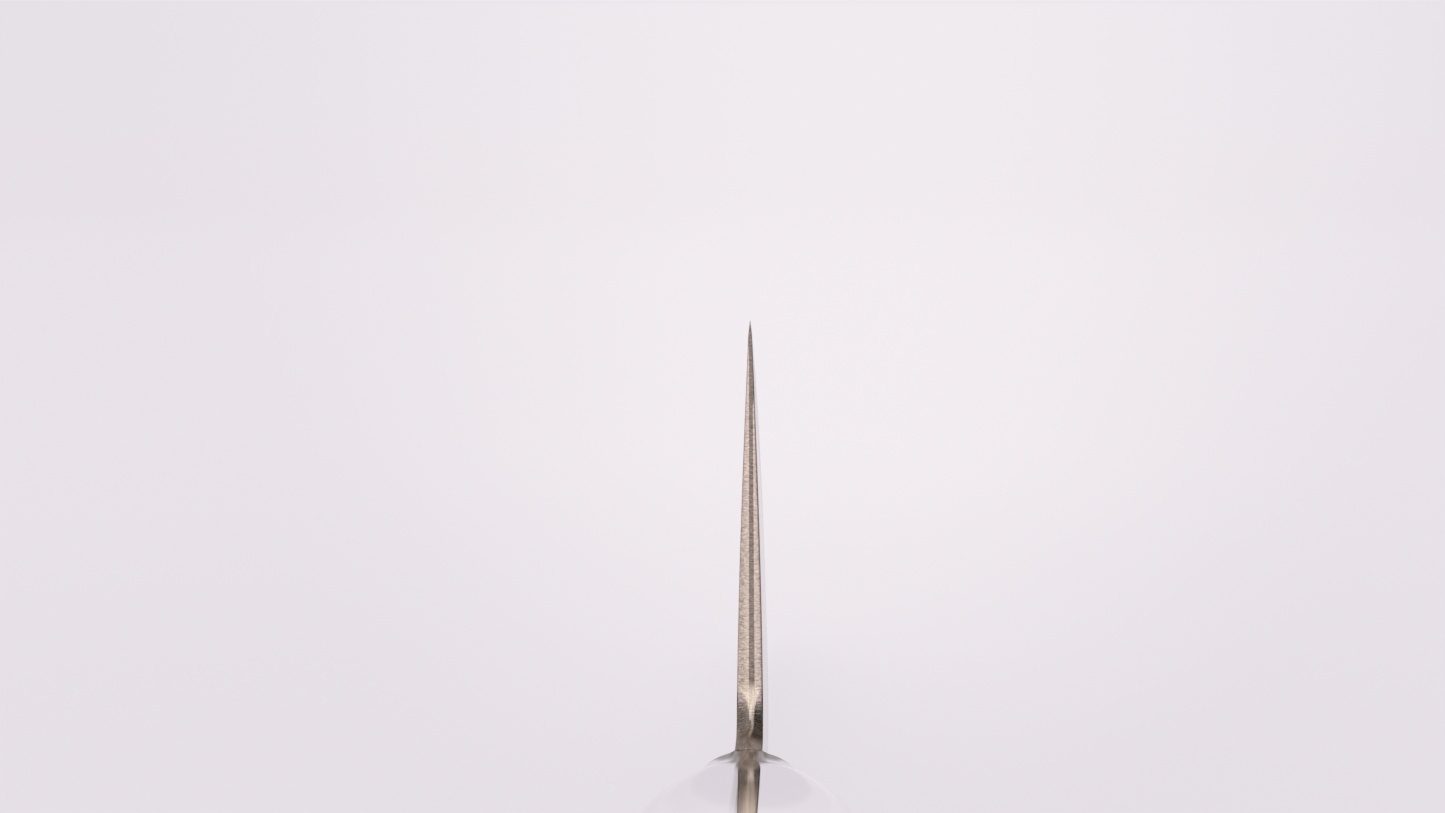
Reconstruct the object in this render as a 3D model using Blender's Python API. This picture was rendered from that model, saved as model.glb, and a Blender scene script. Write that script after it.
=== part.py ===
"""Japanese boning knife (honesuki) with a three-layer blade and a riveted western handle.

Frame: metres, +Z up. The knife stands on its spine and on the back of its handle,
cutting edge up: +Y runs from the butt towards the point, +Z from the spine towards
the cutting edge, +X to the right-hand face when looking from the butt to the point.
The origin is the centre of the bounding box's underside.

Along the knife the station s is used, in millimetres from the heel (the choil face):
positive towards the point, negative towards the butt.
"""

import math

import bmesh
import bpy

MM = 0.001

# ---------------------------------------------------------------- driving sizes (mm)
BLADE_LENGTH = 150.0        # heel to point
HANDLE_END = -126.0         # butt, so the knife is 276 mm long
Y_OF_HEEL = -12.0           # puts the origin at mid length

HEEL_HEIGHT = 41.2          # spine to cutting edge at the heel
NECK_HEIGHT = 13.3          # spine to underside of the neck
CHOIL_RADIUS = 3.0          # fillet from the choil face into the neck
EDGE_SLOPE = 0.15           # how fast the edge closes on the spine at the heel
SPINE_DROP_START = 95.0
SPINE_DROP = 3.2            # the spine meets the point this far above its own line

BEVEL_EDGE = 0.03           # width of the very edge
BEVEL_SLOPE = 0.225         # sharpening bevel, thickness per mm of height
GRIND_BASE = 0.17
GRIND_RISE = 1.66           # convex grind: thickness gained over GRIND_HEIGHT
GRIND_HEIGHT = 31.0
GRIND_TAIL = 0.012          # thickness per mm above the grind
DISTAL_TAPER = 0.30         # share of thickness lost from heel to point

CORE_LEFT = 0.075           # core steel left of the middle plane, at the heel
CORE_RIGHT_LOW = 0.34       # and right of it, at the height of the neck
CORE_RIGHT_HIGH = 0.14      # and near the cutting edge
CORE_TAPER_LEFT = 0.0002    # its faces close in by this much per mm of length
CORE_TAPER_RIGHT = 0.00218
LAYER_GAP = 0.02            # seam between core and cladding
CLAD_FEATHER = 0.02         # thickness of the cladding where it ends on the core
CLAD_START_LEFT = 1.3       # below the edge, at the heel
CLAD_START_RIGHT = 4.9
CLAD_RAMP = 0.9             # the cladding reaches its full depth over this height
CLAD_LIP = 0.15
CLAD_END = 144.0            # the cladding stops this far from the heel

BOLSTER_FRONT = -9.0
BOLSTER_REAR = -45.0
BOLSTER_APEX = 12.9         # height of the bolster's belly at its front
BOLSTER_RISE = 0.028        # rise of that belly per mm towards the handle, at its front
BOLSTER_HOLLOW = 0.0007     # and its hollow curve
BOLSTER_HALF = 8.2          # half width of the bolster
BOLSTER_NOSE = 4.6          # and of its front face, round the neck
BOLSTER_FLARE = 3.0         # its shoulders widen over this length

STUB_HALF = 0.80            # blade stub inside the bolster
STUB_END = -19.0
STUB_LOW, STUB_HIGH = 1.6, 11.4
TANG_HALF = 1.00            # tang plate, 2 mm thick
TANG_FRONT = -20.0
TANG_LOW, TANG_HIGH = 2.4, 10.8
SLOT_CLEAR = 0.06
SEAT_CLEAR = 0.05           # glued or pressed faces in the handle

HANDLE_HALF = 9.0           # half width of the scales at the palm
RIVETS = ((-55.0, 8.6), (-82.0, 9.6), (-109.0, 10.6))   # station, height
RIVET_SEAT = 5.2            # the heads bear on this plane, from the middle plane
RIVET_HEAD_R = 3.75
RIVET_TUBE_R = 2.4
RIVET_TUBE_END = 4.6
RIVET_BORE_R = 1.60
RIVET_PIN_R = 1.50
RIVET_BORE_END = 4.0
RIVET_CLEAR = 0.05
SEGMENTS = 28

EDGE_CURVE = (HEEL_HEIGHT - EDGE_SLOPE * BLADE_LENGTH - SPINE_DROP - 0.4) / BLADE_LENGTH**2


# ---------------------------------------------------------------- laws of the shape
def clamp(v, lo, hi):
    return max(lo, min(hi, v))


def smooth(a, b, v):
    t = clamp((v - a) / (b - a), 0.0, 1.0)
    return t * t * (3 - 2 * t)


def spread(a, b, n):
    return [a + (b - a) * i / n for i in range(n + 1)]


def spine_z(s):
    return SPINE_DROP * (max(0.0, s - SPINE_DROP_START) / (BLADE_LENGTH - SPINE_DROP_START)) ** 2


def edge_z(s):
    s = max(s, 0.0)
    return HEEL_HEIGHT - EDGE_SLOPE * s - EDGE_CURVE * s * s


def grind(h):
    """Full thickness at height h below the cutting edge, at the heel."""
    body = GRIND_BASE + GRIND_RISE * math.sin(math.pi / 2 * min(h, GRIND_HEIGHT) / GRIND_HEIGHT)
    body += GRIND_TAIL * max(0.0, h - GRIND_HEIGHT)
    return min(BEVEL_EDGE + BEVEL_SLOPE * h, body)


def outer(s, z):
    """Half thickness of the blade; the stub in the bolster is ground flat."""
    if s < BOLSTER_FRONT + 0.01:
        return STUB_HALF
    return 0.5 * grind(max(0.0, edge_z(s) - z)) * (1 - DISTAL_TAPER * clamp(s / BLADE_LENGTH, 0, 1))


def clad_ramp(s):
    """The cladding reaches its full depth over this height, less near the point."""
    return CLAD_RAMP * (1 - 0.6 * smooth(90, CLAD_END, s))


def core_left(s, z):
    return CORE_LEFT - CORE_TAPER_LEFT * max(s, 0.0)


def core_right(s, z):
    t = (z - NECK_HEIGHT) / (HEEL_HEIGHT - NECK_HEIGHT)
    return CORE_RIGHT_LOW + (CORE_RIGHT_HIGH - CORE_RIGHT_LOW) * t - CORE_TAPER_RIGHT * max(s, 0.0)


def start_left(s):
    """Height below the edge at which the left cladding begins."""
    wave = 0.32 * math.sin(s / 9.0 + 0.4) + 0.16 * math.sin(s / 3.7 + 2.0)
    near_point = smooth(90, CLAD_END, s)
    return CLAD_START_LEFT + smooth(0, 24, s) * (2.3 + wave) * (1 - near_point) - 0.4 * near_point


def start_right(s):
    wave = 0.32 * math.sin(s / 8.0 + 2.2) + 0.16 * math.sin(s / 3.3 + 0.5)
    near_point = smooth(90, CLAD_END, s)
    return CLAD_START_RIGHT + smooth(0, 20, s) * (1.3 + wave) * (1 - near_point) - 3.15 * near_point


def neck_top(s):
    """Underside of the neck and the choil fillet, from the bolster to the heel."""
    x = s + CHOIL_RADIUS
    if x <= 0:
        return NECK_HEIGHT
    return NECK_HEIGHT + CHOIL_RADIUS - math.sqrt(max(0.0, CHOIL_RADIUS**2 - min(x, CHOIL_RADIUS) ** 2))


# ---- the handle's envelope: bolster, scales and tang share it
def butt(s, r):
    u = HANDLE_END + r - s
    return r - math.sqrt(max(0.0, r * r - clamp(u, 0.0, r) ** 2))


def back_z(s):
    return 1.5 * smooth(-92, -122, s) + butt(s, 4.5)


def belly_z(s):
    v = BOLSTER_FRONT - max(s, BOLSTER_REAR)
    z = BOLSTER_APEX + BOLSTER_RISE * v + BOLSTER_HOLLOW * v * v
    z += 3.0 * smooth(-44, -72, s)
    z -= 1.1 * smooth(-72, -93, s)
    z += 5.4 * smooth(-89, -117, s)
    return z - butt(s, 7.0)


def half_width(s):
    v = max(0.0, BOLSTER_FRONT - s)
    w = BOLSTER_NOSE + (BOLSTER_HALF - BOLSTER_NOSE) * (1 - math.exp(-v / BOLSTER_FLARE))
    w += (HANDLE_HALF - BOLSTER_HALF) * smooth(-38, -68, s) - 0.35 * smooth(-78, -100, s)
    w += 0.35 * smooth(-100, -118, s)
    return w - butt(s, 3.2)


def flat_half(s):
    """Half width of the flat along the back and the belly."""
    nose = 0.85 - 0.55 * smooth(BOLSTER_FRONT, -12.0, s)
    return nose + 0.95 * smooth(-41.5, BOLSTER_REAR, s) + 1.15 * smooth(BOLSTER_REAR, -60, s)


def section_power(s):
    return 2.15 + 0.3 * smooth(-42, -64, s)


def envelope_x(s, z):
    """Half width of the handle's outside at height z."""
    lo, hi = back_z(s), belly_z(s)
    q = clamp(abs(z - (lo + hi) / 2) / ((hi - lo) / 2), 0.0, 1.0)
    f, w, n = flat_half(s), half_width(s), section_power(s)
    f = min(f, w - 0.1)
    return f + (w - f) * (1 - q**n) ** (1 / n)


def half_section(s, m):
    """Points (x, z) of the envelope's right half, from the back round to the belly."""
    lo, hi = back_z(s), belly_z(s)
    mid, b = (lo + hi) / 2, (hi - lo) / 2
    f, w, n = flat_half(s), half_width(s), section_power(s)
    f = min(f, w - 0.1)
    points = []
    for j in range(m + 1):
        a = math.pi * j / m
        c, d = math.cos(a), math.sin(a)
        points.append((f + (w - f) * max(d, 0.0) ** (2 / n), mid - b * math.copysign(abs(c) ** (2 / n), c)))
    return points


# ---------------------------------------------------------------- small tools
def at(x, s, z):
    return (x * MM, (s + Y_OF_HEEL) * MM, z * MM)


def material(name, colour, rough, metallic):
    mat = bpy.data.materials.new(name)
    mat.use_nodes = True
    bsdf = mat.node_tree.nodes["Principled BSDF"]
    bsdf.inputs["Base Color"].default_value = (*colour, 1.0)
    bsdf.inputs["Roughness"].default_value = rough
    bsdf.inputs["Metallic"].default_value = metallic
    return mat


def finish(name, bm, mat, crease=32):
    bmesh.ops.recalc_face_normals(bm, faces=bm.faces[:])
    mesh = bpy.data.meshes.new(name)
    bm.to_mesh(mesh)
    bm.free()
    mesh.shade_smooth()
    mesh.set_sharp_from_angle(angle=math.radians(crease))
    if mat is not None:
        mesh.materials.append(mat)
    obj = bpy.data.objects.new(name, mesh)
    bpy.context.scene.collection.objects.link(obj)
    return obj


def loft(name, loops, mat, crease=32):
    """Skins equal closed loops and caps both ends."""
    bm = bmesh.new()
    rings = [[bm.verts.new(p) for p in loop] for loop in loops]
    for r0, r1 in zip(rings, rings[1:]):
        for k in range(len(r0)):
            j = (k + 1) % len(r0)
            bm.faces.new((r0[k], r0[j], r1[j], r1[k]))
    bm.faces.new(list(reversed(rings[0])))
    bm.faces.new(rings[-1])
    return finish(name, bm, mat, crease)


def cut(obj, cutter):
    cutter.hide_render = True
    cutter.hide_viewport = False
    cutter.display_type = "WIRE"
    mod = obj.modifiers.new("cut", "BOOLEAN")
    mod.operation = "DIFFERENCE"
    mod.solver = "EXACT"
    mod.object = cutter


def box_cutter(name, x, s0, s1, z0, z1):
    loops = [[at(-x, s, z0), at(x, s, z0), at(x, s, z1), at(-x, s, z1)] for s in (s0, s1)]
    return loft(name, loops, None)


def bore_cutter(name, side, s, z, steps):
    """A stepped round cutter along X: steps are (x, radius)."""
    loops = []
    for x, r in steps:
        loops.append([at(side * x, s + r * math.cos(2 * math.pi * k / SEGMENTS),
                         z + r * math.sin(2 * math.pi * k / SEGMENTS)) for k in range(SEGMENTS)])
    return loft(name, loops, None)


class Net:
    """The side view of a plate: points (s, z) and the triangles between them."""

    def __init__(self):
        self.points, self.cells, self.index = [], [], {}

    def point(self, p):
        key = (round(p[0], 5), round(p[1], 5))
        if key not in self.index:
            self.index[key] = len(self.points)
            self.points.append(p)
        return self.index[key]

    def columns(self, cols):
        for c0, c1 in zip(cols, cols[1:]):
            for j in range(len(c0) - 1):
                a, b = self.point(c0[j]), self.point(c1[j])
                c, d = self.point(c1[j + 1]), self.point(c0[j + 1])
                for tri in ((a, b, c), (a, c, d)):
                    if len(set(tri)) == 3:
                        self.cells.append(list(tri))

    def bridge(self, c0, c1):
        """Joins two columns with different numbers of points."""
        def share(c, j):
            return (c[j][1] - c[0][1]) / (c[-1][1] - c[0][1])

        i = j = 0
        while i < len(c0) - 1 or j < len(c1) - 1:
            step0 = share(c0, i + 1) if i < len(c0) - 1 else 9.0
            step1 = share(c1, j + 1) if j < len(c1) - 1 else 9.0
            a, b = self.point(c0[i]), self.point(c1[j])
            if step0 <= step1:
                i += 1
                self.cells.append([a, b, self.point(c0[i])])
            else:
                j += 1
                self.cells.append([a, b, self.point(c1[j])])


def plate(name, net, left, right, mat):
    """left(s, z) and right(s, z) give the two faces' x."""
    bm = bmesh.new()
    lo = [bm.verts.new(at(left(s, z), s, z)) for s, z in net.points]
    hi = [bm.verts.new(at(right(s, z), s, z)) for s, z in net.points]
    edges = set()
    for cell in net.cells:
        bm.faces.new([lo[i] for i in cell])
        bm.faces.new([hi[i] for i in reversed(cell)])
        edges.update(zip(cell, cell[1:] + cell[:1]))
    for a, b in sorted(edges):
        if (b, a) not in edges:
            bm.faces.new((lo[b], lo[a], hi[a], hi[b]))
    return finish(name, bm, mat)


# ---------------------------------------------------------------- blade
NECK_STATIONS = [BOLSTER_FRONT + 0.05, -6.0] + [
    -CHOIL_RADIUS * (1 - math.sin(math.pi / 2 * k / 5)) for k in range(0, 6)
]
BLADE_STATIONS = spread(0.0, 130.0, 24) + [135.0, 140.0, CLAD_END]
POINT_STATIONS = ((146.0, 6), (148.0, 5), (149.2, 3), (BLADE_LENGTH, 2))   # station, rows


def foot_column(s):
    """Rows from the spine up to the level of the neck."""
    if s <= 0:
        low, top = 0.0, neck_top(s)
    else:
        low = spine_z(s)
        knee = edge_z(s) - start_right(s) - clad_ramp(s)
        top = low + min((edge_z(s) - low) * (NECK_HEIGHT + CHOIL_RADIUS) / HEEL_HEIGHT, (knee - low) * 0.6)
    marks = (0.0, STUB_LOW / NECK_HEIGHT, 0.5, STUB_HIGH / NECK_HEIGHT, 1.0)
    return [(s, low + (top - low) * m) for m in marks]


def grind_column(s, stops):
    """Rows from the level of the neck up to the last of the given heights."""
    base = foot_column(s)[-1][1]
    knee = edge_z(s) - start_right(s) - clad_ramp(s)
    rows = [base + (knee - base) * t for t in (0.0, 0.3, 0.58, 0.82, 1.0)]
    return [(s, z) for z in rows + stops]


def stops_right(s):
    return [edge_z(s) - start_right(s)]


def stops_left(s):
    e = edge_z(s)
    return [e - start_right(s), e - start_left(s) - clad_ramp(s), e - start_left(s)]


def stops_core(s):
    e = edge_z(s)
    r, l = start_right(s), start_left(s)
    return [e - r, e - r + CLAD_LIP, e - l - clad_ramp(s), e - l, e - l + CLAD_LIP, e - 0.62, e]


def layer_net(stops):
    net = Net()
    marks = (STUB_LOW, 0.5 * NECK_HEIGHT, STUB_HIGH)
    net.columns([[(s, z) for z in marks] for s in (STUB_END, BOLSTER_FRONT, NECK_STATIONS[0])])
    net.columns([foot_column(s) for s in NECK_STATIONS + BLADE_STATIONS[1:]])
    net.columns([grind_column(s, stops(s)) for s in BLADE_STATIONS])
    return net


def below(s, z, start):
    """How far a point lies below the line where a cladding begins."""
    return edge_z(s) - z - start(s)


def clad_inner(s, z, start, core):
    d = below(s, z, start)
    if d > clad_ramp(s) - 1e-4:
        return core(s, z) + LAYER_GAP
    full = core(s, z) + LAYER_GAP
    return (outer(s, z) - CLAD_FEATHER) + (full - outer(s, z) + CLAD_FEATHER) * max(d, 0.0) / clad_ramp(s)


def core_outer(s, z, start, core):
    if s > CLAD_END + 0.2:
        return outer(s, z)
    if below(s, z, start) < -1e-4:
        return outer(s, z)
    return clad_inner(s, z, start, core) - LAYER_GAP


def build_blade(core_mat, clad_mat):
    core_net = layer_net(stops_core)
    # the core runs on alone to the point
    last = foot_column(CLAD_END) + grind_column(CLAD_END, stops_core(CLAD_END))[1:]
    s = CLAD_END + 0.4
    lo, hi = spine_z(s), edge_z(s)
    z0, z1 = last[0][1], last[-1][1]
    column = [(s, lo + (hi - lo) * (z - z0) / (z1 - z0)) for _, z in last]
    core_net.columns([last, column])
    for s, rows in POINT_STATIONS:
        following = [(s, z) for z in spread(spine_z(s), edge_z(s), rows - 1)]
        core_net.bridge(column, following)
        column = following
    plate("blade_core", core_net,
          lambda s, z: -core_outer(s, z, start_left, core_left),
          lambda s, z: core_outer(s, z, start_right, core_right), core_mat)
    plate("blade_cladding_left", layer_net(stops_left),
          lambda s, z: -outer(s, z),
          lambda s, z: -clad_inner(s, z, start_left, core_left), clad_mat)
    plate("blade_cladding_right", layer_net(stops_right),
          lambda s, z: clad_inner(s, z, start_right, core_right),
          lambda s, z: outer(s, z), clad_mat)


# ---------------------------------------------------------------- handle
BOLSTER_STATIONS = [BOLSTER_FRONT - d for d in (0.0, 0.25, 0.6, 1.0, 1.5, 2.2, 3.0, 4.2, 6.0, 8.5, 12.0, 16.0, 20.0, 24.0, 28.0, 32.5)] + [BOLSTER_REAR]
SCALE_STATIONS = [BOLSTER_REAR - SEAT_CLEAR] + spread(-46.0, -114.0, 14) + [-117.0, -119.0] + [
    HANDLE_END + 7.0 * (1 - math.sin(math.pi / 2 * k / 6)) for k in range(1, 7)
]


def build_bolster(mat):
    m = 18
    loops = []
    for s in BOLSTER_STATIONS:
        half = half_section(s, m)
        loops.append([at(x, s, z) for x, z in half] + [at(-x, s, z) for x, z in reversed(half)])
    bolster = loft("bolster", loops, mat, 40)
    cut(bolster, box_cutter("cutter_stub_slot", STUB_HALF + SLOT_CLEAR, BOLSTER_FRONT + 1.0, STUB_END - 0.3,
                            STUB_LOW - SLOT_CLEAR, STUB_HIGH + SLOT_CLEAR))
    cut(bolster, box_cutter("cutter_tang_slot", TANG_HALF + SLOT_CLEAR, STUB_END - 0.1, BOLSTER_REAR - 1.0,
                            TANG_LOW - SLOT_CLEAR, TANG_HIGH + SLOT_CLEAR))


def build_tang(mat):
    net = Net()
    rear = SCALE_STATIONS[0]
    marks = (TANG_LOW, (TANG_LOW + TANG_HIGH) / 2, TANG_HIGH)
    lo, hi = back_z(rear), belly_z(rear)
    net.columns([[(s, z) for z in marks] for s in (TANG_FRONT, rear)])
    cols = [[(rear, z) for z in (lo,) + marks + (hi,)]]
    for s in SCALE_STATIONS[1:]:
        z0, z1 = back_z(s), belly_z(s)
        cols.append([(s, z0 + (z1 - z0) * (z - lo) / (hi - lo)) for _, z in cols[0]])
    net.columns(cols)
    tang = plate("tang", net, lambda s, z: -TANG_HALF, lambda s, z: TANG_HALF, mat)
    for i, (s, z) in enumerate(RIVETS):
        r = RIVET_TUBE_R + RIVET_CLEAR
        cut(tang, bore_cutter(f"cutter_tang_hole_{i + 1}", 1, s, z, ((-3.0, r), (3.0, r))))


def build_scale(side, name, mat):
    m = 16
    seat = TANG_HALF + SEAT_CLEAR
    loops = []
    for s in SCALE_STATIONS:
        half = half_section(s, m)
        loops.append([at(side * x, s, z) for x, z in half] + [at(side * seat, s, half[-1][1]), at(side * seat, s, half[0][1])])
    scale = loft(name, loops, mat, 40)
    for i, (s, z) in enumerate(RIVETS):
        r0, r1 = RIVET_TUBE_R + RIVET_CLEAR, RIVET_HEAD_R + RIVET_CLEAR
        steps = ((0.0, r0), (RIVET_SEAT - RIVET_CLEAR, r0), (RIVET_SEAT - RIVET_CLEAR, r1), (14.0, r1))
        cut(scale, bore_cutter(f"cutter_{name}_{i + 1}", side, s, z, steps))


def build_rivet_half(name, side, s, z, female, mat):
    """One half of a cutler's rivet: a head dressed flush with the scale, and a tube or a pin."""
    bm = bmesh.new()

    def ring(r, x):
        out = []
        for k in range(SEGMENTS):
            a = 2 * math.pi * k / SEGMENTS
            u, v = s + r * math.cos(a), z + r * math.sin(a)
            px = envelope_x(u, v) if x is None else x
            out.append(bm.verts.new(at(side * px, u, v)))
        return out

    rings = [ring(r, None) for r in (0.25 * RIVET_HEAD_R, 0.6 * RIVET_HEAD_R, RIVET_HEAD_R)]
    rings.append(ring(RIVET_HEAD_R, RIVET_SEAT))
    if female:
        rings += [ring(RIVET_TUBE_R, RIVET_SEAT), ring(RIVET_TUBE_R, -RIVET_TUBE_END),
                  ring(RIVET_BORE_R, -RIVET_TUBE_END), ring(RIVET_BORE_R, RIVET_BORE_END)]
        tip_x = RIVET_BORE_END
    else:
        tip_x = -(RIVET_BORE_END - 0.4)
        rings += [ring(RIVET_PIN_R, RIVET_SEAT), ring(RIVET_PIN_R, tip_x)]
    for r0, r1 in zip(rings, rings[1:]):
        for k in range(SEGMENTS):
            j = (k + 1) % SEGMENTS
            bm.faces.new((r0[k], r0[j], r1[j], r1[k]))
    top = bm.verts.new(at(side * envelope_x(s, z), s, z))
    for k in range(SEGMENTS):
        bm.faces.new((rings[0][(k + 1) % SEGMENTS], rings[0][k], top))
    bm.faces.new(rings[-1])
    finish(name, bm, mat)


# ---------------------------------------------------------------- build
for old in list(bpy.data.objects):
    bpy.data.objects.remove(old, do_unlink=True)

core_steel = material("core_steel", (0.42, 0.38, 0.36), 0.35, 1.0)
cladding_steel = material("cladding_steel", (0.68, 0.64, 0.61), 0.28, 1.0)
bolster_steel = material("bolster_steel", (0.78, 0.77, 0.77), 0.05, 1.0)
tang_steel = material("tang_steel", (0.55, 0.54, 0.53), 0.30, 1.0)
rivet_steel = material("rivet_steel", (0.72, 0.71, 0.70), 0.22, 1.0)
handle_wood = material("handle_wood", (0.035, 0.024, 0.020), 0.38, 0.0)

build_blade(core_steel, cladding_steel)
build_bolster(bolster_steel)
build_tang(tang_steel)
build_scale(-1, "scale_left", handle_wood)
build_scale(1, "scale_right", handle_wood)
for number, (station, height) in zip(("front", "middle", "rear"), RIVETS):
    build_rivet_half(f"rivet_{number}_tube", -1, station, height, True, rivet_steel)
    build_rivet_half(f"rivet_{number}_pin", 1, station, height, False, rivet_steel)
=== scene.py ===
"""Looks for the boning knife: finer surfaces over the CAD frame, steels, dark laminated wood,
a pale studio and the camera behind the handle, looking along the blade at its choil."""

import math

import bmesh
import bpy
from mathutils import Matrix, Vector


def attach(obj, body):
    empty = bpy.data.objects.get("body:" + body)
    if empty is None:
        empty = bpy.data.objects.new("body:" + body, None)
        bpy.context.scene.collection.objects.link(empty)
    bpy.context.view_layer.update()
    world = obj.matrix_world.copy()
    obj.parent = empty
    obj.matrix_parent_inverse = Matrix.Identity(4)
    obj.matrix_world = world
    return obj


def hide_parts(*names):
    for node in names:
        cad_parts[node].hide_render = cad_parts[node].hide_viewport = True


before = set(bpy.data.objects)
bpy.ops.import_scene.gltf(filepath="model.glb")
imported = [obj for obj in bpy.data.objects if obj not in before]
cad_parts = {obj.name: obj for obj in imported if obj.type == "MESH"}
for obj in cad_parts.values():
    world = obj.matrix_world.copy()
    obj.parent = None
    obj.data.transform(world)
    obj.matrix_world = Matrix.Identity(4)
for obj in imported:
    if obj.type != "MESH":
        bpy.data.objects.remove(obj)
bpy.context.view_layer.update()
MM = 0.001

# ---------------------------------------------------------------- driving sizes (mm)
BLADE_LENGTH = 150.0        # heel to point
HANDLE_END = -126.0         # butt, so the knife is 276 mm long
Y_OF_HEEL = -12.0           # puts the origin at mid length

HEEL_HEIGHT = 41.2          # spine to cutting edge at the heel
NECK_HEIGHT = 13.3          # spine to underside of the neck
CHOIL_RADIUS = 3.0          # fillet from the choil face into the neck
EDGE_SLOPE = 0.15           # how fast the edge closes on the spine at the heel
SPINE_DROP_START = 95.0
SPINE_DROP = 3.2            # the spine meets the point this far above its own line

BEVEL_EDGE = 0.03           # width of the very edge
BEVEL_SLOPE = 0.225         # sharpening bevel, thickness per mm of height
GRIND_BASE = 0.17
GRIND_RISE = 1.66           # convex grind: thickness gained over GRIND_HEIGHT
GRIND_HEIGHT = 31.0
GRIND_TAIL = 0.012          # thickness per mm above the grind
DISTAL_TAPER = 0.30         # share of thickness lost from heel to point

CORE_LEFT = 0.075           # core steel left of the middle plane, at the heel
CORE_RIGHT_LOW = 0.34       # and right of it, at the height of the neck
CORE_RIGHT_HIGH = 0.14      # and near the cutting edge
CORE_TAPER_LEFT = 0.0002    # its faces close in by this much per mm of length
CORE_TAPER_RIGHT = 0.00218
LAYER_GAP = 0.02            # seam between core and cladding
CLAD_FEATHER = 0.02         # thickness of the cladding where it ends on the core
CLAD_START_LEFT = 1.3       # below the edge, at the heel
CLAD_START_RIGHT = 4.9
CLAD_RAMP = 0.9             # the cladding reaches its full depth over this height
CLAD_LIP = 0.15
CLAD_END = 144.0            # the cladding stops this far from the heel

BOLSTER_FRONT = -9.0
BOLSTER_REAR = -45.0
BOLSTER_APEX = 12.9         # height of the bolster's belly at its front
BOLSTER_RISE = 0.028        # rise of that belly per mm towards the handle, at its front
BOLSTER_HOLLOW = 0.0007     # and its hollow curve
BOLSTER_HALF = 8.2          # half width of the bolster
BOLSTER_NOSE = 4.6          # and of its front face, round the neck
BOLSTER_FLARE = 3.0         # its shoulders widen over this length

STUB_HALF = 0.80            # blade stub inside the bolster
STUB_END = -19.0
STUB_LOW, STUB_HIGH = 1.6, 11.4
TANG_HALF = 1.00            # tang plate, 2 mm thick
TANG_FRONT = -20.0
TANG_LOW, TANG_HIGH = 2.4, 10.8
SLOT_CLEAR = 0.06
SEAT_CLEAR = 0.05           # glued or pressed faces in the handle

HANDLE_HALF = 9.0           # half width of the scales at the palm
RIVETS = ((-55.0, 8.6), (-82.0, 9.6), (-109.0, 10.6))   # station, height
RIVET_SEAT = 5.2            # the heads bear on this plane, from the middle plane
RIVET_HEAD_R = 3.75
RIVET_TUBE_R = 2.4
RIVET_TUBE_END = 4.6
RIVET_BORE_R = 1.60
RIVET_PIN_R = 1.50
RIVET_BORE_END = 4.0
RIVET_CLEAR = 0.05
SEGMENTS = 28

EDGE_CURVE = (HEEL_HEIGHT - EDGE_SLOPE * BLADE_LENGTH - SPINE_DROP - 0.4) / BLADE_LENGTH**2


# ---------------------------------------------------------------- laws of the shape
def clamp(v, lo, hi):
    return max(lo, min(hi, v))


def smooth(a, b, v):
    t = clamp((v - a) / (b - a), 0.0, 1.0)
    return t * t * (3 - 2 * t)


def spread(a, b, n):
    return [a + (b - a) * i / n for i in range(n + 1)]


def spine_z(s):
    return SPINE_DROP * (max(0.0, s - SPINE_DROP_START) / (BLADE_LENGTH - SPINE_DROP_START)) ** 2


def edge_z(s):
    s = max(s, 0.0)
    return HEEL_HEIGHT - EDGE_SLOPE * s - EDGE_CURVE * s * s


def grind(h):
    """Full thickness at height h below the cutting edge, at the heel."""
    body = GRIND_BASE + GRIND_RISE * math.sin(math.pi / 2 * min(h, GRIND_HEIGHT) / GRIND_HEIGHT)
    body += GRIND_TAIL * max(0.0, h - GRIND_HEIGHT)
    return min(BEVEL_EDGE + BEVEL_SLOPE * h, body)


def outer(s, z):
    """Half thickness of the blade; the stub in the bolster is ground flat."""
    if s < BOLSTER_FRONT + 0.01:
        return STUB_HALF
    return 0.5 * grind(max(0.0, edge_z(s) - z)) * (1 - DISTAL_TAPER * clamp(s / BLADE_LENGTH, 0, 1))


def clad_ramp(s):
    """The cladding reaches its full depth over this height, less near the point."""
    return CLAD_RAMP * (1 - 0.6 * smooth(90, CLAD_END, s))


def core_left(s, z):
    return CORE_LEFT - CORE_TAPER_LEFT * max(s, 0.0)


def core_right(s, z):
    t = (z - NECK_HEIGHT) / (HEEL_HEIGHT - NECK_HEIGHT)
    return CORE_RIGHT_LOW + (CORE_RIGHT_HIGH - CORE_RIGHT_LOW) * t - CORE_TAPER_RIGHT * max(s, 0.0)


def start_left(s):
    """Height below the edge at which the left cladding begins."""
    wave = 0.32 * math.sin(s / 9.0 + 0.4) + 0.16 * math.sin(s / 3.7 + 2.0)
    near_point = smooth(90, CLAD_END, s)
    return CLAD_START_LEFT + smooth(0, 24, s) * (2.3 + wave) * (1 - near_point) - 0.4 * near_point


def start_right(s):
    wave = 0.32 * math.sin(s / 8.0 + 2.2) + 0.16 * math.sin(s / 3.3 + 0.5)
    near_point = smooth(90, CLAD_END, s)
    return CLAD_START_RIGHT + smooth(0, 20, s) * (1.3 + wave) * (1 - near_point) - 3.15 * near_point


def neck_top(s):
    """Underside of the neck and the choil fillet, from the bolster to the heel."""
    x = s + CHOIL_RADIUS
    if x <= 0:
        return NECK_HEIGHT
    return NECK_HEIGHT + CHOIL_RADIUS - math.sqrt(max(0.0, CHOIL_RADIUS**2 - min(x, CHOIL_RADIUS) ** 2))


# ---- the handle's envelope: bolster, scales and tang share it
def butt(s, r):
    u = HANDLE_END + r - s
    return r - math.sqrt(max(0.0, r * r - clamp(u, 0.0, r) ** 2))


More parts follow.
